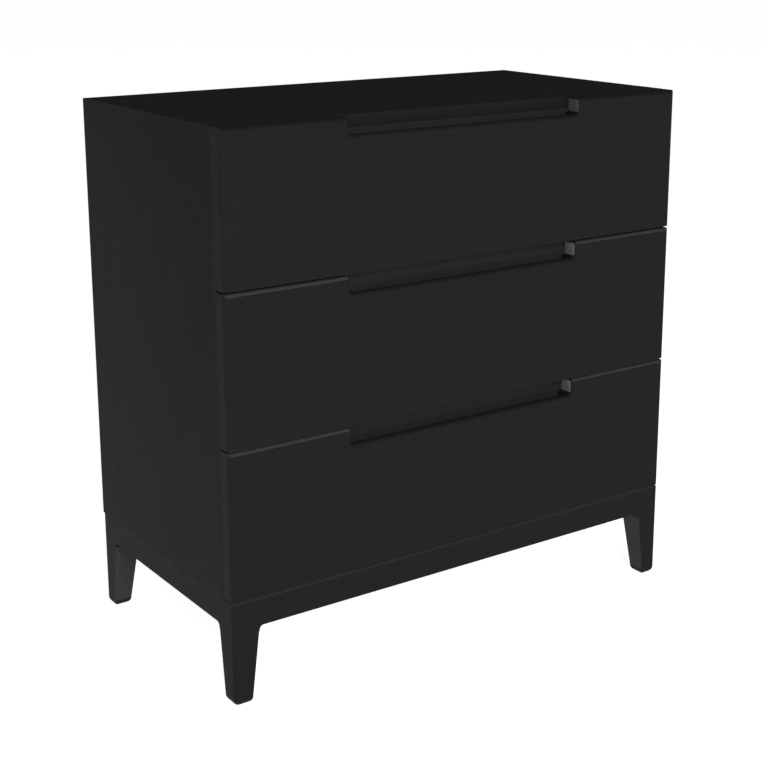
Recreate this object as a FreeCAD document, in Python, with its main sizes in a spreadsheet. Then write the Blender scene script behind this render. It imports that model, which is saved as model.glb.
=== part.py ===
import FreeCAD, Part
import math
import os
import re

import Sketcher
from FreeCAD import Rotation, Vector

# A chest of three drawers: a mitred carcass on a base frame with tapered legs, and three overlay
# drawers on full-extension slides.  Millimetres, X to the right, Y to the rear, Z up.  The origin is
# on the floor under the middle of the chest.

SIZES = {
    # Whole chest
    "chest_width": 800,
    "chest_depth": 422,
    # Drawer fronts: they cover the carcass from edge to edge
    "front_height": 215,
    "front_gap": 3,
    "front_thickness": 25,
    "front_clearance": 2,
    "corner_radius": 6,
    "edge_radius": 1,
    "pull_width": 408,
    "pull_depth": 24,
    "pull_radius": 5,
    "bevel_drop": 18,
    # Carcass
    "panel_thickness": 18,
    "back_thickness": 6,
    "back_rebate": 8,
    "rail_height": 44,
    "rail_above_gap": 8,
    "top_rail_height": 14,
    # Base frame and legs
    "base_height": 155,
    "apron_height": 39,
    "apron_thickness": 20,
    "leg_size": 40,
    "leg_foot": 27,
    "leg_ear": 8,
    "ear_tip": 1,
    "ear_radius": 6.5,
    "foot_radius": 10,
    "glide_height": 2,
    "glide_radius": 3.5,
    "glide_pin_radius": 2,
    "glide_pin_length": 14,
    "block_size": 46,
    "block_drop": 6,
    # Drawer boxes
    "box_depth": 350,
    "box_height": 159,
    "box_lift": 18,
    "box_thickness": 12,
    "bottom_thickness": 6,
    "bottom_lift": 10,
    "bottom_groove": 6,
    "box_edge_radius": 1.5,
    # Slides
    "slide_length": 350,
    "slide_setback": 2,
    "slide_width": 12.7,
    "slide_lift": 48,
    "steel_thickness": 1.2,
    "outer_height": 45,
    "outer_reach": 9.6,
    "middle_height": 36,
    "middle_start": 2.8,
    "middle_reach": 10.4,
    "inner_height": 24,
    "inner_start": 5.6,
    # Fixings
    "dowel_radius": 4,
    "dowel_depth": 12,
    "screw_radius": 1.75,
    "screw_head_radius": 3.5,
    "screw_head_height": 2.5,
    "recess_width": 3.8,
    "recess_slot": 0.9,
    "recess_depth": 1.6,
    "leg_screw_length": 40,
    "base_screw_bite": 12,
    "back_screw_length": 15,
    "front_screw_length": 24,
    "member_screw_length": 14,
    "member_screw_head": 1,
}

LEVELS = ("bottom", "middle", "top")
SIDES = {"left": -1, "right": 1}
ROWS = {"front": -1, "rear": 1}

# Where fixings stand, as shares of the board that they fix
BOTTOM_DOWEL_SHARES = (0.15, 0.5, 0.85)
RAIL_DOWEL_SHARES = (0.25, 0.75)
BACK_SCREW_SHARES_UP = (0.1, 0.37, 0.63, 0.9)
BACK_SCREW_SHARES_ACROSS = (-0.3, 0, 0.3)
MEMBER_SCREW_SHARES = (0.12, 0.88)
FRONT_SCREW_SHARES_ACROSS = (-0.4, -0.14, 0.14, 0.4)
FRONT_SCREW_SHARES_UP = (0.3, 0.75)

FRONT_FACE = "-chest_depth / 2"
CARCASS_FRONT = "-chest_depth / 2 + front_thickness + front_clearance"
REAR_FACE = "chest_depth / 2"
CARCASS_TOP = "base_height + 3 * (front_height + front_gap)"
CARCASS_DEPTH = "chest_depth - front_thickness - front_clearance"
INNER_WIDTH = "chest_width - 2 * panel_thickness"
BLOCK_HEIGHT = "apron_height - block_drop"
BOX_FRONT = "-chest_depth / 2 + front_thickness"
BOX_WIDTH = "chest_width - 2 * panel_thickness - 2 * slide_width"

document = FreeCAD.newDocument("Chest")
sheet = document.addObject("Spreadsheet::Sheet", "Sizes")
for row, (alias, value) in enumerate(SIZES.items(), start=1):
    sheet.set(f"A{row}", alias)
    sheet.set(f"B{row}", str(value))
    sheet.setAlias(f"B{row}", alias)
document.recompute()

nodes = []


# ---- Helpers ---------------------------------------------------------------------------------------

def formula(text):
    """Point every alias in a formula at its cell in the sheet."""
    return re.sub(r"[a-z_]+", lambda word: f"Sizes.{word[0]}" if word[0] in SIZES else word[0], text)


def bind(item, **properties):
    """Bind properties of an object to formulas."""
    for name, text in properties.items():
        item.setExpression(name, formula(text))


def place(item, x="0", y="0", z="0", direction=None, turn=0):
    """Bind an object's position, and turn it about Z or point its own Z axis along a direction."""
    if direction is not None:
        item.Placement = FreeCAD.Placement(Vector(), Rotation(Vector(0, 0, 1), Vector(*direction)))
    elif turn:
        item.Placement = FreeCAD.Placement(Vector(), Rotation(Vector(0, 0, 1), turn))
    for axis, text in zip("xyz", (x, y, z)):
        item.setExpression(f"Placement.Base.{axis}", formula(text))


def keep(item, label):
    """Name a finished sub-part and list it for export."""
    item.Label = label
    nodes.append(item)
    return item


def board(name, low, size):
    """A rectangular board from its lowest corner and its size, both as formulas."""
    item = document.addObject("Part::Box", name)
    bind(item, Length=size[0], Width=size[1], Height=size[2])
    place(item, *low)
    return item


def cut(name, blank, tool):
    """The blank less the tool."""
    item = document.addObject("Part::Cut", name)
    item.Base = blank
    item.Tool = tool
    return item


def group(name, members):
    """Separate solids that share one node."""
    item = document.addObject("Part::Compound", name)
    item.Links = members
    return item


def new_body(name):
    return document.addObject("PartDesign::Body", name)


def outline(body, plane, name, points):
    """A closed sketch of straight lines on one of the body's origin planes, corners as formulas."""
    sketch = body.newObject("Sketcher::SketchObject", name)
    origin_plane = next(item for item in body.Origin.OriginFeatures if item.Role == plane)
    sketch.AttachmentSupport = [(origin_plane, "")]
    sketch.MapMode = "FlatFace"
    count = len(points)
    # The lines start on a circle, and the constraints carry them to their places.
    angles = [math.tau * k / count for k in range(count)]
    start = [Vector(math.cos(angle), math.sin(angle), 0) for angle in angles]
    for k in range(count):
        sketch.addGeometry(Part.LineSegment(start[k], start[(k + 1) % count]))
    for k in range(count):
        sketch.addConstraint(Sketcher.Constraint("Coincident", k, 2, (k + 1) % count, 1))
    for k, corner in enumerate(points):
        for kind, rough, text in zip(("DistanceX", "DistanceY"), start[k], corner):
            index = sketch.addConstraint(Sketcher.Constraint(kind, -1, 1, k, 1, rough))
            sketch.setExpression(f"Constraints[{index}]", formula(text))
    return sketch


def pad(body, plane, name, points, length, backwards=False):
    """Thicken a sketched outline into the body."""
    sketch = outline(body, plane, f"{name}_outline", points)
    feature = body.newObject("PartDesign::Pad", name)
    feature.Profile = sketch
    feature.Reversed = backwards
    bind(feature, Length=length)
    return feature


def pocket(body, plane, name, points, length=None):
    """Cut a sketched outline from the body, evenly about its plane; right through without a length."""
    sketch = outline(body, plane, f"{name}_outline", points)
    feature = body.newObject("PartDesign::Pocket", name)
    feature.Profile = sketch
    feature.SideType = "Symmetric"
    if length is None:
        feature.Type = "ThroughAll"
    else:
        bind(feature, Length=length)
    return feature


def size_of(text):
    """The value now of one alias."""
    return float(sheet.get(text))


def fillet(body, name, base, radius, wanted):
    """Round the edges of a feature whose bounding box passes a test."""
    document.recompute()
    edges = [f"Edge{k}" for k, edge in enumerate(base.Shape.Edges, start=1) if wanted(edge.BoundBox)]
    feature = body.newObject("PartDesign::Fillet", name)
    feature.Base = (base, edges)
    bind(feature, Radius=radius)
    return feature


def near(first, second):
    return abs(first - second) < 0.01


def screw(name, length, spot, direction):
    """A countersunk wood screw with a cross recess, and the plain form of it that bores its hole.

    The head's top is at the spot and the shank points along direction."""
    shank = document.addObject("Part::Cylinder", f"{name}_shank")
    bind(shank, Radius="screw_radius", Height=length)
    head = document.addObject("Part::Cone", f"{name}_head")
    bind(head, Radius1="screw_head_radius", Radius2="screw_radius", Height="screw_head_height")
    plain = document.addObject("Part::Fuse", f"{name}_plain")
    plain.Base = shank
    plain.Tool = head
    arms = []
    for wide, deep in (("recess_width", "recess_slot"), ("recess_slot", "recess_width")):
        low = (f"-{wide} / 2", f"-{deep} / 2", "0")
        arms.append(board(f"{name}_{wide}_arm", low, (wide, deep, "recess_depth")))
    item = cut(name, plain, group(f"{name}_recess", arms))
    bore = group(f"{name}_bore", [plain])
    for placed in (item, bore):
        place(placed, *spot, direction=direction)
    return item, bore


def keep_screws(name, screws, label):
    """Keep the screws of one joint as a node.  The group that is returned bores their holes."""
    keep(group(name, [item for item, bore in screws]), label)
    return group(f"{name}Bores", [bore for item, bore in screws])


def peg(name, radius, length, spot, direction):
    """A plain round peg that starts at the spot and points along direction."""
    item = document.addObject("Part::Cylinder", name)
    bind(item, Radius=radius, Height=length)
    place(item, *spot, direction=direction)
    return item


# ---- Carcass ---------------------------------------------------------------------------------------

def make_dowels():
    """Dowels from each side panel into the ends of the bottom panel and the three rails."""
    spots = []
    for share in BOTTOM_DOWEL_SHARES:
        depth = f"{CARCASS_FRONT} + {share} * ({CARCASS_DEPTH} - back_thickness)"
        spots.append((depth, "base_height + panel_thickness / 2"))
    for level in (1, 2):
        for share in RAIL_DOWEL_SHARES:
            height = f"{rail_bottom(level)} + {share} * rail_height"
            spots.append((f"{CARCASS_FRONT} + panel_thickness / 2", height))
    spots.append((f"{CARCASS_FRONT} + panel_thickness / 2", top_rail_middle()))
    pegs = []
    for side, sign in SIDES.items():
        for count, (depth, height) in enumerate(spots):
            start = f"{sign} * ({INNER_WIDTH}) / 2 + {sign} * dowel_depth"
            spot = (start, depth, height)
            name = f"dowel_{side}_{count}"
            pegs.append(peg(name, "dowel_radius", "2 * dowel_depth", spot, (-sign, 0, 0)))
    return keep(group("CarcassDowels", pegs), "carcass_dowels")


def rail_bottom(level):
    """Height of the underside of the rail behind the gap that is over the given number of drawers."""
    gap_top = f"base_height + front_gap + {level} * (front_height + front_gap)"
    return f"{gap_top} + rail_above_gap - rail_height"


def top_rail_middle():
    return f"{CARCASS_TOP} - panel_thickness - top_rail_height / 2"


def make_back_screws():
    """Screws through the edge of the back panel into both sides, the top and the bottom."""
    inset_wide = f"({INNER_WIDTH}) / 2 + back_rebate / 2"
    low = "base_height + panel_thickness / 2"
    high = f"{CARCASS_TOP} - panel_thickness + back_rebate / 2"
    spots = []
    for sign in SIDES.values():
        for share in BACK_SCREW_SHARES_UP:
            spots.append((f"{sign} * ({inset_wide})", f"({low}) + {share} * ({CARCASS_TOP} - base_height)"))
    for share in BACK_SCREW_SHARES_ACROSS:
        spots.append((f"{share} * ({INNER_WIDTH})", low))
        spots.append((f"{share} * ({INNER_WIDTH})", high))
    items = [
        screw(f"back_screw_{count}", "back_screw_length", (x, REAR_FACE, z), (0, -1, 0))
        for count, (x, z) in enumerate(spots)
    ]
    return keep_screws("BackScrews", items, "back_panel_screws")


def make_top_panel(fixings):
    """The top: its ends are mitred and its rear edge is rebated for the back panel."""
    body = new_body("TopPanel")
    half = "chest_width / 2"
    inner = f"({INNER_WIDTH}) / 2"
    points = [
        (f"-{half}", "panel_thickness"),
        (half, "panel_thickness"),
        (inner, "0"),
        (f"-({inner})", "0"),
    ]
    pad(body, "XZ_Plane", "top_pad", points, CARCASS_DEPTH, backwards=True)
    rebate = [
        (f"{CARCASS_DEPTH} - back_thickness", "0"),
        (CARCASS_DEPTH, "0"),
        (CARCASS_DEPTH, "back_rebate"),
        (f"{CARCASS_DEPTH} - back_thickness", "back_rebate"),
    ]
    pocket(body, "YZ_Plane", "top_rebate", rebate)
    place(body, "0", CARCASS_FRONT, f"{CARCASS_TOP} - panel_thickness")
    keep(cut("TopPanelBored", body, fixings), "top_panel")


def make_side_panel(side, sign, fixings):
    """A side: its upper end is mitred and its rear edge is rebated for the back panel."""
    body = new_body(f"SidePanel_{side}")
    height = f"{CARCASS_TOP} - base_height"
    points = [
        (f"{sign} * panel_thickness", "0"),
        (f"{sign} * panel_thickness", height),
        ("0", f"{height} - panel_thickness"),
        ("0", "0"),
    ]
    pad(body, "XZ_Plane", f"{side}_pad", points, CARCASS_DEPTH, backwards=True)
    rebate = [
        ("0", f"{CARCASS_DEPTH} - back_thickness"),
        (f"{sign} * back_rebate", f"{CARCASS_DEPTH} - back_thickness"),
        (f"{sign} * back_rebate", CARCASS_DEPTH),
        ("0", CARCASS_DEPTH),
    ]
    pocket(body, "XY_Plane", f"{side}_rebate", rebate)
    place(body, f"{sign} * ({INNER_WIDTH}) / 2", CARCASS_FRONT, "base_height")
    keep(cut(f"SidePanelBored_{side}", body, fixings), f"{side}_side_panel")


def make_inner_panels(dowels, back_screws, base_screws):
    """The bottom panel, the back panel and the three rails across the front."""
    left = f"-({INNER_WIDTH}) / 2"
    bottom_size = (INNER_WIDTH, f"{CARCASS_DEPTH} - back_thickness", "panel_thickness")
    bottom = board("BottomBlank", (left, CARCASS_FRONT, "base_height"), bottom_size)
    fixings = group("BottomFixings", [dowels, back_screws, base_screws])
    keep(cut("BottomBored", bottom, fixings), "bottom_panel")

    back_low = (f"{left} - back_rebate", f"{REAR_FACE} - back_thickness", "base_height")
    back_height = f"{CARCASS_TOP} - panel_thickness + back_rebate - base_height"
    back_size = (f"{INNER_WIDTH} + 2 * back_rebate", "back_thickness", back_height)
    keep(cut("BackBored", board("BackBlank", back_low, back_size), back_screws), "back_panel")

    rails = {
        "lower_divider_rail": (rail_bottom(1), "rail_height"),
        "upper_divider_rail": (rail_bottom(2), "rail_height"),
        "top_front_rail": (f"{CARCASS_TOP} - panel_thickness - top_rail_height", "top_rail_height"),
    }
    for label, (height, rail_height) in rails.items():
        rail_size = (INNER_WIDTH, "panel_thickness", rail_height)
        blank = board(f"Blank_{label}", (left, CARCASS_FRONT, height), rail_size)
        keep(cut(f"Bored_{label}", blank, dowels), label)


# ---- Base frame ------------------------------------------------------------------------------------

def make_apron(label, length, turn, x, y):
    """An apron between two legs.  Each end drops to the leg in a small round ear."""
    body = new_body(f"Apron_{label}")
    half = f"({length}) / 2"
    points = [
        (f"-{half}", "apron_height"),
        (f"-{half}", "-leg_ear"),
        (f"-{half} + ear_tip", "-leg_ear"),
        (f"-{half} + ear_tip", "0"),
        (f"{half} - ear_tip", "0"),
        (f"{half} - ear_tip", "-leg_ear"),
        (half, "-leg_ear"),
        (half, "apron_height"),
    ]
    base = pad(body, "XZ_Plane", f"{label}_pad", points, "apron_thickness", backwards=True)
    fillet(body, f"{label}_ears", base, "ear_radius",
           lambda box: near(box.ZMin, 0) and near(box.ZMax, 0) and near(box.XLength, 0))
    place(body, x, y, "base_height - apron_height", turn=turn)
    keep(body, label)


def make_glides():
    """A nail-in plastic glide under each leg, centred on the leg's foot."""
    items = []
    for side, sign in SIDES.items():
        for row, fore in ROWS.items():
            x = f"{sign} * (chest_width - leg_foot) / 2"
            y = f"{fore} * (chest_depth - leg_foot) / 2"
            name = f"glide_{row}_{side}"
            disc = peg(f"{name}_disc", "glide_radius", "glide_height", (x, y, "0"), (0, 0, 1))
            length = "glide_height + glide_pin_length"
            pin = peg(f"{name}_pin", "glide_pin_radius", length, (x, y, "0"), (0, 0, 1))
            item = document.addObject("Part::Fuse", name)
            item.Base = disc
            item.Tool = pin
            items.append(item)
    return keep(group("FootGlides", items), "foot_glides")


def make_leg(label, sign, fore, turn, fixings):
    """A leg: a square post with two sawn tapers on its inner faces and rounded bottom edges."""
    body = new_body(f"Leg_{label}")
    square = [("0", "0"), ("leg_size", "0"), ("leg_size", "leg_size"), ("0", "leg_size")]
    pad(body, "XY_Plane", f"{label}_post", square, "base_height - glide_height")
    taper_top = "base_height - apron_height - leg_ear - glide_height"
    taper = [("leg_foot", "0"), ("leg_size", "0"), ("leg_size", taper_top)]
    pocket(body, "XZ_Plane", f"{label}_taper_wide", taper)
    last = pocket(body, "YZ_Plane", f"{label}_taper_deep", taper)
    corner = fillet(body, f"{label}_corner", last, "corner_radius",
                    lambda box: near(box.XMax, 0) and near(box.YMax, 0))
    fillet(body, f"{label}_foot", corner, "foot_radius", lambda box: near(box.ZMax, 0))
    place(body, f"{sign} * chest_width / 2", f"{fore} * chest_depth / 2", "glide_height", turn=turn)
    keep(cut(f"LegBored_{label}", body, fixings), label)


def make_corner_blocks():
    """Glue blocks in the corners of the base frame, and their screws up and into the legs."""
    blocks = []
    leg_screws = []
    top_screws = []
    for side, sign in SIDES.items():
        for row, fore in ROWS.items():
            name = f"block_{row}_{side}"
            body = new_body(name)
            flip = sign * fore
            # The block fills the corner behind the leg between the two aprons.
            points = [
                ("leg_size", "apron_thickness"),
                ("leg_size + block_size", "apron_thickness"),
                ("apron_thickness", "leg_size + block_size"),
                ("apron_thickness", "leg_size"),
                ("leg_size", "leg_size"),
            ]
            turned = [(f"{-sign} * ({x})", f"{-fore} * ({y})") for x, y in points]
            if flip < 0:
                turned.reverse()
            pad(body, "XY_Plane", f"{name}_pad", turned, BLOCK_HEIGHT)
            underside = f"base_height - ({BLOCK_HEIGHT})"
            place(body, f"{sign} * chest_width / 2", f"{fore} * chest_depth / 2", underside)
            middle = "(leg_size + apron_thickness + block_size) / 2"
            corner = (f"{sign} * (chest_width / 2 - {middle})", f"{fore} * (chest_depth / 2 - {middle})")
            leg_spot = (*corner, f"base_height - ({BLOCK_HEIGHT}) / 2")
            leg_screws.append(screw(f"{name}_leg_screw", "leg_screw_length", leg_spot, (sign, fore, 0)))
            top_spot = (
                f"{sign} * (chest_width / 2 - leg_size - block_size / 4)",
                f"{fore} * (chest_depth / 2 - apron_thickness - block_size / 4)",
                underside,
            )
            top_length = f"{BLOCK_HEIGHT} + base_screw_bite"
            top_screws.append(screw(f"{name}_top_screw", top_length, top_spot, (0, 0, 1)))
            blocks.append(body)
    leg_group = keep_screws("LegScrews", leg_screws, "corner_block_screws")
    top_group = keep_screws("BaseScrews", top_screws, "base_frame_screws")
    fixings = group("BlockFixings", [leg_group, top_group])
    keep(cut("CornerBlocksBored", group("CornerBlanks", blocks), fixings), "corner_blocks")
    return leg_group, top_group


# ---- Slides ----------------------------------------------------------------------------------------

def lift_of(level):
    """Height of the underside of a level's drawer front."""
    return f"base_height + front_gap + {level} * (front_height + front_gap)"


def make_channel(name, sign, level, web_start, web_end, height):
    """One pressed steel member of a slide: a channel whose web is at web_start, open to web_end.

    Both are distances from the cabinet side towards the drawer."""
    body = new_body(name)
    wall = "steel_thickness" if web_end != "inner_start" else "-steel_thickness"
    half = f"{height} / 2"
    points = [
        (web_start, f"-{half}"),
        (web_end, f"-{half}"),
        (web_end, f"-{half} + steel_thickness"),
        (f"{web_start} + {wall}", f"-{half} + steel_thickness"),
        (f"{web_start} + {wall}", f"{half} - steel_thickness"),
        (web_end, f"{half} - steel_thickness"),
        (web_end, half),
        (web_start, half),
    ]
    placed = [(f"{-sign} * ({x})", z) for x, z in points]
    pad(body, "XZ_Plane", f"{name}_pad", placed, "slide_length", backwards=True)
    depth = f"{CARCASS_FRONT} + slide_setback"
    place(body, f"{sign} * ({INNER_WIDTH}) / 2", depth, f"{lift_of(level)} + slide_lift")
    return body


def make_member_screws():
    """Two screws through the web of each cabinet member into the side panel."""
    items = []
    for level, title in enumerate(LEVELS):
        for side, sign in SIDES.items():
            for share in MEMBER_SCREW_SHARES:
                x = f"{sign} * (({INNER_WIDTH}) / 2 - steel_thickness - member_screw_head)"
                y = f"{CARCASS_FRONT} + slide_setback + {share} * slide_length"
                name = f"member_screw_{title}_{side}_{round(100 * share)}"
                spot = (x, y, f"{lift_of(level)} + slide_lift")
                items.append(screw(name, "member_screw_length", spot, (sign, 0, 0)))
    return keep_screws("MemberScrews", items, "cabinet_member_screws")


def make_slides(level, title, member_screws):
    """Both slides of a drawer: cabinet member, intermediate member and drawer member on each side."""
    middles = []
    for side, sign in SIDES.items():
        outer = make_channel(f"Outer_{title}_{side}", sign, level, "0", "outer_reach", "outer_height")
        keep(cut(f"OuterBored_{title}_{side}", outer, member_screws), f"{title}_{side}_cabinet_member")
        name = f"Middle_{title}_{side}"
        middles.append(make_channel(name, sign, level, "middle_start", "middle_reach", "middle_height"))
        name = f"Inner_{title}_{side}"
        inner = make_channel(name, sign, level, "slide_width", "inner_start", "inner_height")
        keep(inner, f"{title}_{side}_drawer_member")
    keep(group(f"Middles_{title}", middles), f"{title}_middle_members")


# ---- Drawers ---------------------------------------------------------------------------------------

def on_level_edge(box):
    """Whether an edge is an upper or lower edge of a front, apart from the ones at its rear."""
    at_an_end = near(box.ZMin, 0) or near(box.ZMin, size_of("front_height"))
    at_rear = near(box.YMin, size_of("front_thickness"))
    return near(box.ZLength, 0) and at_an_end and not at_rear


def make_front(level, title, fixings):
    """A drawer front with a cut-out pull in its upper edge.  The pull's ledge slopes down to the rear."""
    body = new_body(f"Front_{title}")
    half = "chest_width / 2"
    ledge = "front_height - pull_depth"
    points = [
        (f"-{half}", "0"),
        (half, "0"),
        (half, "front_height"),
        ("pull_width / 2", "front_height"),
        ("pull_width / 2", ledge),
        ("-pull_width / 2", ledge),
        ("-pull_width / 2", "front_height"),
        (f"-{half}", "front_height"),
    ]
    base = pad(body, "XZ_Plane", f"{title}_front_pad", points, "front_thickness", backwards=True)
    pull_end = size_of("pull_width") / 2
    outer_end = size_of("chest_width") / 2
    cornered = fillet(body, f"{title}_pull_corners", base, "pull_radius",
                      lambda box: near(abs(box.XMin), pull_end)
                      and near(box.XLength, 0) and near(box.ZLength, 0))
    # The rounding of a pull's end runs on round its corner and along its ledge.
    rounded = fillet(body, f"{title}_front_corners", cornered, "corner_radius",
                     lambda box: near(box.XLength, 0) and near(box.YMax, 0)
                     and (near(abs(box.XMin), outer_end) or near(abs(box.XMin), pull_end)))
    bevel = [
        ("corner_radius", ledge),
        ("front_thickness", ledge),
        ("front_thickness", f"{ledge} - bevel_drop"),
    ]
    bevelled = pocket(body, "YZ_Plane", f"{title}_ledge_bevel", bevel, "pull_width - 2 * pull_radius")
    fillet(body, f"{title}_eased_edges", bevelled, "edge_radius", on_level_edge)
    place(body, "0", FRONT_FACE, lift_of(level))
    keep(cut(f"FrontBored_{title}", body, fixings), f"{title}_front")


def make_front_screws(level, title):
    """Screws from inside the box through its front board into the drawer front."""
    items = []
    for across in FRONT_SCREW_SHARES_ACROSS:
        for up in FRONT_SCREW_SHARES_UP:
            spot = (
                f"{across} * ({BOX_WIDTH})",
                f"{BOX_FRONT} + box_thickness",
                f"{lift_of(level)} + box_lift + {up} * box_height",
            )
            name = f"front_screw_{title}_{len(items)}"
            items.append(screw(name, "front_screw_length", spot, (0, -1, 0)))
    return keep_screws(f"FrontScrews_{title}", items, f"{title}_front_screws")


def eased_board(name, low, size):
    """A board of a drawer box, with its two long upper edges rounded."""
    body = new_body(name)
    corners = [("0", "0"), (size[0], "0"), (size[0], size[1]), ("0", size[1])]
    blank = pad(body, "XY_Plane", f"{name}_pad", corners, size[2])
    top = size_of("box_height")
    fillet(body, f"{name}_eased", blank, "box_edge_radius",
           lambda box: near(box.ZMin, top) and box.DiagonalLength > 2 * size_of("box_thickness"))
    place(body, *low)
    return body


def make_box(level, title, fixings):
    """A drawer box: two sides, a front and a back between them, and a bottom in a groove all round."""
    low = f"{lift_of(level)} + box_lift"
    left = f"-({BOX_WIDTH}) / 2"
    inner_width = f"{BOX_WIDTH} - 2 * box_thickness"
    inner_depth = "box_depth - 2 * box_thickness"
    bottom_low = (
        f"{left} + box_thickness - bottom_groove",
        f"{BOX_FRONT} + box_thickness - bottom_groove",
        f"{low} + bottom_lift",
    )
    bottom_width = f"{inner_width} + 2 * bottom_groove"
    bottom_size = (bottom_width, f"{inner_depth} + 2 * bottom_groove", "bottom_thickness")
    bottom = keep(board(f"BoxBottom_{title}", bottom_low, bottom_size), f"{title}_box_bottom")

    side_size = ("box_thickness", "box_depth", "box_height")
    for side, start in (("left", left), ("right", f"({BOX_WIDTH}) / 2 - box_thickness")):
        blank = eased_board(f"BoxSideBlank_{title}_{side}", (start, BOX_FRONT, low), side_size)
        keep(cut(f"BoxSide_{title}_{side}", blank, bottom), f"{title}_box_{side}")

    end_size = (inner_width, "box_thickness", "box_height")
    end_left = f"{left} + box_thickness"
    back_low = (end_left, f"{BOX_FRONT} + box_depth - box_thickness", low)
    back = eased_board(f"BoxBackBlank_{title}", back_low, end_size)
    keep(cut(f"BoxBack_{title}", back, bottom), f"{title}_box_back")
    front = eased_board(f"BoxFrontBlank_{title}", (end_left, BOX_FRONT, low), end_size)
    tools = group(f"BoxFrontTools_{title}", [bottom, fixings])
    keep(cut(f"BoxFront_{title}", front, tools), f"{title}_box_front")


# ---- The whole chest -------------------------------------------------------------------------------

leg_fixings, base_fixings = make_corner_blocks()
dowel_group = make_dowels()
back_fixings = make_back_screws()
member_fixings = make_member_screws()

make_top_panel(back_fixings)
side_fixings = group("SideFixings", [dowel_group, back_fixings, member_fixings])
for side_name, side_sign in SIDES.items():
    make_side_panel(side_name, side_sign, side_fixings)
make_inner_panels(dowel_group, back_fixings, base_fixings)

LONG_APRON = "chest_width - 2 * leg_size"
SHORT_APRON = "chest_depth - 2 * leg_size"
make_apron("front_apron", LONG_APRON, 0, "0", "-chest_depth / 2")
make_apron("rear_apron", LONG_APRON, 180, "0", "chest_depth / 2")
make_apron("left_apron", SHORT_APRON, -90, "-chest_width / 2", "0")
make_apron("right_apron", SHORT_APRON, 90, "chest_width / 2", "0")

leg_tools = group("LegTools", [leg_fixings, make_glides()])
make_leg("front_left_leg", -1, -1, 0, leg_tools)
make_leg("front_right_leg", 1, -1, 90, leg_tools)
make_leg("rear_right_leg", 1, 1, 180, leg_tools)
make_leg("rear_left_leg", -1, 1, 270, leg_tools)

for level_number, level_name in enumerate(LEVELS):
    make_slides(level_number, level_name, member_fixings)
    front_fixings = make_front_screws(level_number, level_name)
    make_front(level_number, level_name, front_fixings)
    make_box(level_number, level_name, front_fixings)

document.recompute()

# ---- Checks and export -----------------------------------------------------------------------------

failed = [item.Name for item in document.Objects if {"Invalid", "Error"} & set(item.State)]
if failed:
    raise RuntimeError(f"objects that failed: {failed}")
for item in nodes:
    if item.Shape.isNull() or not item.Shape.isValid() or not item.Shape.Solids:
        raise RuntimeError(f"bad shape: {item.Label}")

os.makedirs("parts", exist_ok=True)
for item in nodes:
    item.Shape.exportStep(f"parts/{item.Label}.step")
print(len(nodes), "parts written")
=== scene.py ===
import bpy
import math
from mathutils import Euler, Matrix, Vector

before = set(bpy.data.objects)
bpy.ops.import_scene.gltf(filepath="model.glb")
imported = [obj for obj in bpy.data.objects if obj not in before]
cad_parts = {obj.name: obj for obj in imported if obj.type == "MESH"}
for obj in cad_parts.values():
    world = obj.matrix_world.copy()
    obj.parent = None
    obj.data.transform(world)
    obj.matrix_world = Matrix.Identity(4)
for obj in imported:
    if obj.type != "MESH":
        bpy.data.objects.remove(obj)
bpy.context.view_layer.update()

# Camera, in metres and degrees
CAMERA_PLACE = (-1.2989, -1.8891, 1.0511)
CAMERA_AZIMUTH = 35.08
CAMERA_PITCH = -13.83
CAMERA_LENS_MM = 70.5
CAMERA_SHIFT = (-0.0219, -0.1094)

MILLIMETRE = 0.001

# The pull in the upper edge of each front
PULL_HALF_WIDTH = 204 * MILLIMETRE

# Height at which the rounding of the feet ends
FOOT_TOP = 12 * MILLIMETRE

# Tones of the stained wood by face, chosen to match how bright each face is in the reference. All but
# VENEER_TONE are painted light and shade: the one stain made paler or darker face by face for the light
# that falls there.
VENEER_TONE = 0.0100
# Painted shade: the side panels are given a darker tone than the fronts of the same stain, against the
# floor's light on them.
SHADED_SIDE_TONE = 0.0074
# Painted light: the outer ends of the fronts are paler than the side panels they are flush with.
LIT_OUTER_END_TONE = 0.013
# Painted light: the end faces of the pulls are made far paler than the rest of the front.
LIT_PULL_END_TONE = 0.125
# Painted light and shade: the top front's pull ends are paler than the veneer, but darker than the lower
# fronts' pull ends for the shade there.
TOP_PULL_END_LIGHT_AND_SHADE_TONE = 0.068
# Painted highlight: the upper and lower edges of the fronts beside the pulls are pale, so the gaps between
# fronts show as light lines.
GAP_HIGHLIGHT_TONE = 0.040
# Painted highlight: a pale line along the front edges of the side panels, where they meet the fronts.
SEAM_HIGHLIGHT_TONE = 0.030
# Painted highlight: the faces of the aprons and legs that look upwards are pale, so the gap under the
# bottom front shows as a light line.
APRON_TOP_HIGHLIGHT_TONE = 0.080
# Painted light: the tapered faces of the legs, which look a little downwards, are paler for the light of
# the floor below them.
TAPER_LIT_TONE = 0.032
# Painted light: the rails, seen at the back of the pulls' recesses, are paler than the veneer to lift the
# shade there.
RAIL_LIT_TONE = 0.019

# Two plies of the drawer boxes' plywood
PLY_PAIR = 2.67 * MILLIMETRE

# Depth of the relief in each surface
STAINED_RELIEF = 0.08 * MILLIMETRE
PLY_RELIEF = 0.06 * MILLIMETRE
BEECH_RELIEF = 0.1 * MILLIMETRE
BOARD_RELIEF = 0.1 * MILLIMETRE
STEEL_RELIEF = 0.02 * MILLIMETRE
PLASTIC_RELIEF = 0.03 * MILLIMETRE

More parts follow.
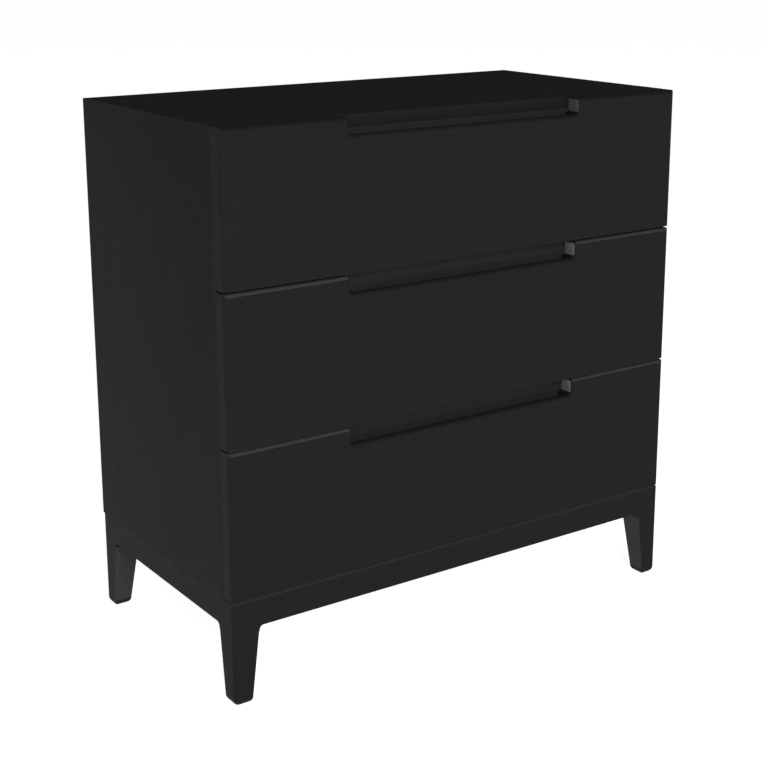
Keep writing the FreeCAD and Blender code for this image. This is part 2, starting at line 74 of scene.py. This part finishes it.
# Colours of the bare woods
BIRCH_DEEP = (0.50, 0.34, 0.19, 1.0)
BIRCH_PALE = (0.66, 0.49, 0.31, 1.0)
BIRCH_FIBRE = (0.42, 0.27, 0.14, 1.0)
BIRCH_FLECK = (0.33, 0.20, 0.10, 1.0)
BIRCH_END_DEEP = (0.27, 0.16, 0.08, 1.0)
BIRCH_END_PALE = (0.40, 0.26, 0.14, 1.0)
BEECH_DEEP = (0.40, 0.25, 0.13, 1.0)
BEECH_PALE = (0.56, 0.39, 0.22, 1.0)
BEECH_FLECK = (0.25, 0.14, 0.07, 1.0)

# Slight tints of a grey
WARM_WOOD = (1.0, 0.995, 0.985)
# Tint of the painted light on the masked faces of the stained wood
WARM_PAINTED_LIGHT = (1.0, 0.98, 0.95)
WARM_BOARD = (1.0, 0.97, 0.93)
WARM_CLOUD = (1.0, 0.97, 0.94)
WARM_STEEL = (1.0, 0.99, 0.96)
COOL_STEEL = (0.97, 0.99, 1.0)

# Specular level of the stained wood
WOOD_SHEEN = 0.035

# Stage and light, in metres and watts
FLOOR_SIZE = 40.0
FLOOR_TONE = 0.8
FLOOR_GLOW = 0.90
SKY_TO_CAMERA = 1.0
SKY_LIGHT = 0.11
KEY_PLACE = (-1.6, -4.6, 2.5)
KEY_AIM = (0.0, 0.0, 0.4)
KEY_SIZE = 2.6
KEY_POWER = 225.0


# ---- Shader nodes ----------------------------------------------------------------------------------

class Shading:
    """A material and a short way to add nodes to it."""

    def __init__(self, name):
        self.material = bpy.data.materials.new(name)
        self.material.use_nodes = True
        self.tree = self.material.node_tree
        self.surface = self.tree.nodes["Principled BSDF"]

    def node(self, kind, inputs=None, **settings):
        """Adds a node.  An input is a constant or another node's output socket."""
        made = self.tree.nodes.new(kind)
        for name, value in settings.items():
            setattr(made, name, value)
        for key, value in (inputs or {}).items():
            self.feed(made.inputs[key], value)
        return made

    def feed(self, socket, value):
        if isinstance(value, bpy.types.NodeSocket):
            self.tree.links.new(value, socket)
        else:
            socket.default_value = value

    def math(self, operation, first, second=0.0):
        return self.node("ShaderNodeMath", {0: first, 1: second}, operation=operation).outputs[0]

    def step(self, value, low, high):
        """A smooth step from 0 at low to 1 at high."""
        inputs = {"Value": value, "From Min": low, "From Max": high}
        return self.node("ShaderNodeMapRange", inputs, interpolation_type="SMOOTHSTEP").outputs[0]

    def scale_to(self, value, low, high):
        """Spreads a value from 0 to 1 over low to high."""
        return self.node("ShaderNodeMapRange", {"Value": value, "To Min": low, "To Max": high}).outputs[0]

    def mix(self, factor, first, second):
        """Mixes two colours."""
        made = self.node("ShaderNodeMix", data_type="RGBA")
        self.feed(made.inputs[0], factor)
        self.feed(made.inputs[6], first)
        self.feed(made.inputs[7], second)
        return made.outputs[2]

    def place(self):
        """Object coordinates, which move with the piece."""
        return self.node("ShaderNodeTexCoord").outputs["Object"]

    def stretched(self, scale):
        """Object coordinates with a scale for each axis."""
        return self.node("ShaderNodeMapping", {"Vector": self.place(), "Scale": scale}).outputs[0]

    def noise(self, vector, detail=2.0, roughness=0.5, distortion=0.0):
        """Noise over coordinates that have their scale already."""
        inputs = {
            "Vector": vector,
            "Scale": 1.0,
            "Detail": detail,
            "Roughness": roughness,
            "Distortion": distortion,
        }
        return self.node("ShaderNodeTexNoise", inputs).outputs["Fac"]

    def axes_of(self, vector):
        return self.node("ShaderNodeSeparateXYZ", {0: vector}).outputs

    def normal(self):
        """The surface's normal in object coordinates."""
        return self.node("ShaderNodeTexCoord").outputs["Normal"]

    def bump(self, height, depth, strength):
        inputs = {"Height": height, "Distance": depth, "Strength": strength}
        return self.node("ShaderNodeBump", inputs).outputs[0]


def grey(level, tint=(1.0, 1.0, 1.0)):
    """An opaque grey, with a slight tint where one is given."""
    return (level * tint[0], level * tint[1], level * tint[2], 1.0)


# ---- Materials -------------------------------------------------------------------------------------

ALONG = {"x": 0, "y": 1, "z": 2}


def grain_scale(axis, along, across):
    """Scales that stretch a noise along one axis."""
    scale = [across, across, across]
    scale[ALONG[axis]] = along
    return tuple(scale)


def both(s, first, second):
    """A mask that holds where both masks hold."""
    return s.math("MULTIPLY", first, second)


def size_along(s, vector, axis):
    """How far a vector reaches along one axis, either way."""
    return s.math("ABSOLUTE", s.axes_of(vector)[ALONG[axis]])


def within_pull(s):
    """1 between the ends of a front's pull, and 0 beside it."""
    across = size_along(s, s.place(), "x")
    return s.step(across, PULL_HALF_WIDTH + 4 * MILLIMETRE, PULL_HALF_WIDTH + 2 * MILLIMETRE)


def pull_ends(s):
    """The flat of the two end faces of a front's pull, without the rounded edges."""
    sideways = s.step(size_along(s, s.normal(), "x"), 0.85, 0.95)
    across = size_along(s, s.place(), "x")
    at_end = s.step(across, PULL_HALF_WIDTH - 3 * MILLIMETRE, PULL_HALF_WIDTH - MILLIMETRE)
    return both(s, both(s, within_pull(s), at_end), sideways)


def outer_ends(s):
    """The two ends of a front, beside the pull."""
    sideways = s.step(size_along(s, s.normal(), "x"), 0.6, 0.9)
    return both(s, s.math("SUBTRACT", 1.0, within_pull(s)), sideways)


def level_edges(s):
    """The upper and lower edges of a front, with their rounding, beside the pull."""
    level = s.step(size_along(s, s.normal(), "z"), 0.2, 0.5)
    return both(s, s.math("SUBTRACT", 1.0, within_pull(s)), level)


def front_edges(s):
    """The edges of the side panels that face forwards, behind the fronts."""
    return s.step(s.axes_of(s.normal())[1], -0.6, -0.9)


def upper_faces(s):
    """Faces that look upwards."""
    return s.step(s.axes_of(s.normal())[2], 0.6, 0.9)


def tapers(s):
    """The two sawn faces of a leg, which look a little downwards, above its rounded foot."""
    downwards = s.axes_of(s.normal())[2]
    sloping = both(s, s.step(downwards, -0.06, -0.10), s.step(downwards, -0.5, -0.3))
    height = s.axes_of(s.place())[2]
    return both(s, sloping, s.step(height, FOOT_TOP - 2 * MILLIMETRE, FOOT_TOP + 2 * MILLIMETRE))


def stained_wood(name, axis, tone, faces=()):
    """Black-stained open-grain oak under a dull lacquer, with the grain along one axis.

    Each item of faces is a mask over some faces and a paler tone painted there, as painted light on those
    faces."""
    s = Shading(name)
    figure = s.noise(s.stretched(grain_scale(axis, 1.6, 26.0)), detail=5.0, roughness=0.6, distortion=0.6)
    fibre = s.noise(s.stretched(grain_scale(axis, 22.0, 700.0)), detail=3.0, roughness=0.6)
    pore_noise = s.noise(s.stretched(grain_scale(axis, 55.0, 1250.0)), detail=1.0)
    pores = s.step(pore_noise, 0.56, 0.66)
    cloud = s.noise(s.stretched((5.0, 5.0, 5.0)), detail=3.0)
    colour = s.mix(figure, grey(tone * 0.84), grey(tone * 1.16, WARM_WOOD))
    colour = s.mix(s.scale_to(fibre, 0.0, 0.5), colour, grey(tone * 1.35))
    for mask_of, face_tone in faces:
        # Painted light: each masked face takes a paler tone of its own, with a slight fibre pattern.
        own = s.mix(fibre, grey(face_tone * 0.75), grey(face_tone * 1.25, WARM_PAINTED_LIGHT))
        colour = s.mix(mask_of(s), colour, own)
    colour = s.mix(s.math("MULTIPLY", pores, 0.28), colour, grey(tone * 0.35))
    s.feed(s.surface.inputs["Base Color"], colour)
    sheen = s.math("ADD", s.scale_to(figure, 0.46, 0.58), s.math("MULTIPLY", pores, 0.12))
    s.feed(s.surface.inputs["Roughness"], s.math("ADD", sheen, s.scale_to(cloud, -0.03, 0.03)))
    s.surface.inputs["Specular IOR Level"].default_value = WOOD_SHEEN
    height = s.math("SUBTRACT", s.math("MULTIPLY", fibre, 0.35), pores)
    s.feed(s.surface.inputs["Normal"], s.bump(height, STAINED_RELIEF, 0.5))
    return s.material


def plywood(name, axis, thickness):
    """Clear-lacquered birch ply: pale face veneer, and stripes of plies on the edges.

    The grain of the face runs along axis, and the plies are stacked along thickness."""
    s = Shading(name)
    figure = s.noise(s.stretched(grain_scale(axis, 2.2, 34.0)), detail=5.0, roughness=0.55, distortion=0.8)
    fibre = s.noise(s.stretched(grain_scale(axis, 30.0, 800.0)), detail=3.0)
    fleck = s.step(s.noise(s.stretched(grain_scale(axis, 90.0, 900.0)), detail=1.0), 0.60, 0.72)
    face = s.mix(figure, BIRCH_DEEP, BIRCH_PALE)
    face = s.mix(s.scale_to(fibre, 0.0, 0.35), face, BIRCH_FIBRE)
    face = s.mix(s.math("MULTIPLY", fleck, 0.25), face, BIRCH_FLECK)
    depth = s.axes_of(s.place())[ALONG[thickness]]
    wave = s.math("SINE", s.math("MULTIPLY", depth, math.tau / PLY_PAIR))
    end_grain = s.mix(fibre, BIRCH_END_DEEP, BIRCH_END_PALE)
    plies = s.mix(s.step(wave, -0.25, 0.25), face, end_grain)
    on_edge = s.step(size_along(s, s.normal(), thickness), 0.6, 0.3)
    s.feed(s.surface.inputs["Base Color"], s.mix(on_edge, face, plies))
    s.feed(s.surface.inputs["Roughness"], s.scale_to(figure, 0.36, 0.50))
    s.surface.inputs["Specular IOR Level"].default_value = 0.4
    s.feed(s.surface.inputs["Normal"], s.bump(s.math("ADD", fibre, fleck), PLY_RELIEF, 0.5))
    return s.material


def raw_beech(name, axis):
    """Unfinished beech of blocks and dowels."""
    s = Shading(name)
    figure = s.noise(s.stretched(grain_scale(axis, 5.0, 60.0)), detail=4.0, distortion=0.5)
    fleck = s.step(s.noise(s.stretched(grain_scale(axis, 160.0, 1100.0)), detail=1.0), 0.58, 0.7)
    colour = s.mix(figure, BEECH_DEEP, BEECH_PALE)
    colour = s.mix(s.math("MULTIPLY", fleck, 0.4), colour, BEECH_FLECK)
    s.feed(s.surface.inputs["Base Color"], colour)
    s.feed(s.surface.inputs["Roughness"], s.scale_to(figure, 0.6, 0.75))
    s.feed(s.surface.inputs["Normal"], s.bump(fleck, BEECH_RELIEF, 0.4))
    return s.material


def back_board(name):
    """Hardboard with a black face: a faint pressed mesh of fibres."""
    s = Shading(name)
    fibres = s.noise(s.stretched((420.0, 420.0, 420.0)), detail=4.0, roughness=0.7)
    cloud = s.noise(s.stretched((6.0, 6.0, 6.0)), detail=4.0)
    colour = s.mix(s.scale_to(fibres, 0.2, 0.8), grey(0.010), grey(0.022, WARM_BOARD))
    colour = s.mix(s.scale_to(cloud, 0.0, 0.4), colour, grey(0.028, WARM_CLOUD))
    s.feed(s.surface.inputs["Base Color"], colour)
    s.feed(s.surface.inputs["Roughness"], s.scale_to(cloud, 0.55, 0.72))
    s.surface.inputs["Specular IOR Level"].default_value = 0.25
    s.feed(s.surface.inputs["Normal"], s.bump(fibres, BOARD_RELIEF, 0.5))
    return s.material


def plated_steel(name, tone, roughness):
    """Zinc-plated steel: bright, slightly clouded, with fine drawing marks along the slides."""
    s = Shading(name)
    cloud = s.noise(s.stretched((60.0, 60.0, 60.0)), detail=4.0)
    marks = s.noise(s.stretched(grain_scale("y", 12.0, 1600.0)), detail=2.0)
    colour = s.mix(cloud, grey(tone * 0.82, WARM_STEEL), grey(tone * 1.1, COOL_STEEL))
    s.feed(s.surface.inputs["Base Color"], colour)
    s.surface.inputs["Metallic"].default_value = 1.0
    clouded = s.scale_to(cloud, roughness - 0.08, roughness + 0.08)
    rough = s.math("ADD", clouded, s.scale_to(marks, -0.05, 0.05))
    s.feed(s.surface.inputs["Roughness"], rough)
    s.feed(s.surface.inputs["Normal"], s.bump(marks, STEEL_RELIEF, 0.4))
    return s.material


def moulded_plastic(name):
    """Matt black moulded plastic with a fine spark texture."""
    s = Shading(name)
    spark = s.noise(s.stretched((1800.0, 1800.0, 1800.0)), detail=2.0)
    wear = s.noise(s.stretched((90.0, 90.0, 90.0)), detail=3.0)
    s.feed(s.surface.inputs["Base Color"], s.mix(wear, grey(0.020), grey(0.035)))
    s.feed(s.surface.inputs["Roughness"], s.scale_to(wear, 0.45, 0.62))
    s.feed(s.surface.inputs["Normal"], s.bump(spark, PLASTIC_RELIEF, 0.5))
    return s.material


materials = {}
materials["veneer"] = stained_wood("stained_veneer", "x", VENEER_TONE)
materials["ply_side"] = plywood("birch_ply_side", "y", "x")
materials["ply_end"] = plywood("birch_ply_end", "x", "y")
materials["ply_bottom"] = plywood("birch_ply_bottom", "x", "z")
# The top front gets its own copy of the stain, with painted light and shade: paler pull ends and outer
# ends, and no pale upper edge, unlike the lower fronts.
top_front_light_and_shade = [(pull_ends, TOP_PULL_END_LIGHT_AND_SHADE_TONE), (outer_ends, LIT_OUTER_END_TONE)]
# The lower fronts' copy of the stain, with painted light on the pull ends and outer ends and a painted
# highlight on the edges along the gaps.
front_painted_light = [(pull_ends, LIT_PULL_END_TONE), (outer_ends, LIT_OUTER_END_TONE), (level_edges, GAP_HIGHLIGHT_TONE)]
materials["top_front"] = stained_wood("stained_top_front_painted_light_and_shade", "x", VENEER_TONE, top_front_light_and_shade)
materials["front"] = stained_wood("stained_front_painted_light", "x", VENEER_TONE, front_painted_light)
# The side panels' copy of the stain: darker all over as painted shade, with a painted highlight along
# their front edges.
materials["side"] = stained_wood("stained_side_painted_shade_and_highlight", "z", SHADED_SIDE_TONE, [(front_edges, SEAM_HIGHLIGHT_TONE)])
# The legs' copy of the stain, with painted light on the tapers and a painted highlight on the upper faces.
leg_painted_light = [(tapers, TAPER_LIT_TONE), (upper_faces, APRON_TOP_HIGHLIGHT_TONE)]
materials["leg"] = stained_wood("stained_leg_painted_light", "z", VENEER_TONE, leg_painted_light)
for grain in ("x", "y"):
    # Painted highlight on the upper faces of the aprons.
    apron_top_highlight = [(upper_faces, APRON_TOP_HIGHLIGHT_TONE)]
    materials[f"apron_{grain}"] = stained_wood(f"stained_apron_painted_highlight_{grain}", grain, VENEER_TONE, apron_top_highlight)
# The rails' copy of the stain, paler all over as painted light against the shade in the recesses.
materials["rail"] = stained_wood("stained_rail_painted_light", "x", RAIL_LIT_TONE)
materials["beech"] = raw_beech("raw_beech", "x")
materials["back"] = back_board("back_board")
materials["slide"] = plated_steel("slide_steel", 0.62, 0.32)
materials["screw"] = plated_steel("screw_steel", 0.55, 0.38)
materials["glide"] = moulded_plastic("glide_plastic")


NAMED_FINISHES = {
    "back_panel": "back",
    "corner_blocks": "beech",
    "carcass_dowels": "beech",
    "foot_glides": "glide",
}


def finish_of(node):
    """The name of the material that a CAD node gets."""
    if node.endswith("_front") and "box" not in node:
        return "top_front" if node == "top_front" else "front"
    if node.endswith("_leg"):
        return "leg"
    if node.endswith("_rail"):
        return "rail"
    if node.endswith("_side_panel"):
        return "side"
    if node.endswith("_apron"):
        return "apron_x" if node.startswith(("front", "rear")) else "apron_y"
    if "_box_" in node:
        if node.endswith("_bottom"):
            return "ply_bottom"
        return "ply_side" if node.endswith(("_left", "_right")) else "ply_end"
    if node.endswith(("_member", "_members")):
        return "slide"
    if node.endswith("_screws"):
        return "screw"
    return NAMED_FINISHES.get(node, "veneer")


def give_material(piece, name):
    piece.data.materials.clear()
    piece.data.materials.append(materials[name])


for node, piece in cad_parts.items():
    give_material(piece, finish_of(node))


# ---- Stage, lights and camera ----------------------------------------------------------------------

def floor_material():
    """A plain pale floor that glows evenly, as a studio's light floor does."""
    s = Shading("pale_floor")
    s.surface.inputs["Base Color"].default_value = grey(FLOOR_TONE)
    s.surface.inputs["Roughness"].default_value = 0.9
    s.surface.inputs["Specular IOR Level"].default_value = 0.0
    s.surface.inputs["Emission Color"].default_value = grey(1.0)
    s.surface.inputs["Emission Strength"].default_value = FLOOR_GLOW
    return s.material


def make_floor():
    half = FLOOR_SIZE / 2
    mesh = bpy.data.meshes.new("floor")
    corners = [(-half, -half, 0), (half, -half, 0), (half, half, 0), (-half, half, 0)]
    mesh.from_pydata(corners, [], [(0, 1, 2, 3)])
    floor = bpy.data.objects.new("floor", mesh)
    bpy.context.scene.collection.objects.link(floor)
    mesh.materials.append(floor_material())


def make_sky():
    """A white background to the camera, and a softer even light to everything else."""
    world = bpy.data.worlds.new("sky")
    bpy.context.scene.world = world
    world.use_nodes = True
    tree = world.node_tree
    seen = tree.nodes["Background"]
    seen.inputs["Strength"].default_value = SKY_TO_CAMERA
    seen.inputs["Color"].default_value = grey(1.0)
    light = tree.nodes.new("ShaderNodeBackground")
    light.inputs["Strength"].default_value = SKY_LIGHT
    light.inputs["Color"].default_value = grey(1.0)
    path = tree.nodes.new("ShaderNodeLightPath")
    choose = tree.nodes.new("ShaderNodeMixShader")
    tree.links.new(path.outputs["Is Camera Ray"], choose.inputs[0])
    tree.links.new(light.outputs[0], choose.inputs[1])
    tree.links.new(seen.outputs[0], choose.inputs[2])
    tree.links.new(choose.outputs[0], tree.nodes["World Output"].inputs[0])


def make_key_light():
    """One large soft light, in front of the chest, to its left and above it."""
    data = bpy.data.lights.new("key", "AREA")
    data.shape = "DISK"
    data.size = KEY_SIZE
    data.energy = KEY_POWER
    lamp = bpy.data.objects.new("key", data)
    bpy.context.scene.collection.objects.link(lamp)
    lamp.location = KEY_PLACE
    lamp.rotation_euler = (Vector(KEY_AIM) - Vector(KEY_PLACE)).to_track_quat("-Z", "Y").to_euler()


def make_camera():
    data = bpy.data.cameras.new("camera")
    data.lens = CAMERA_LENS_MM
    data.shift_x, data.shift_y = CAMERA_SHIFT
    data.clip_end = 100.0
    camera = bpy.data.objects.new("camera", data)
    bpy.context.scene.collection.objects.link(camera)
    camera.location = CAMERA_PLACE
    tilt = math.radians(90.0 + CAMERA_PITCH)
    camera.rotation_euler = Euler((tilt, 0.0, math.radians(-CAMERA_AZIMUTH)), "XYZ")
    bpy.context.scene.camera = camera


make_floor()
make_sky()
make_key_light()
make_camera()
bpy.context.scene.view_settings.view_transform = "Standard"
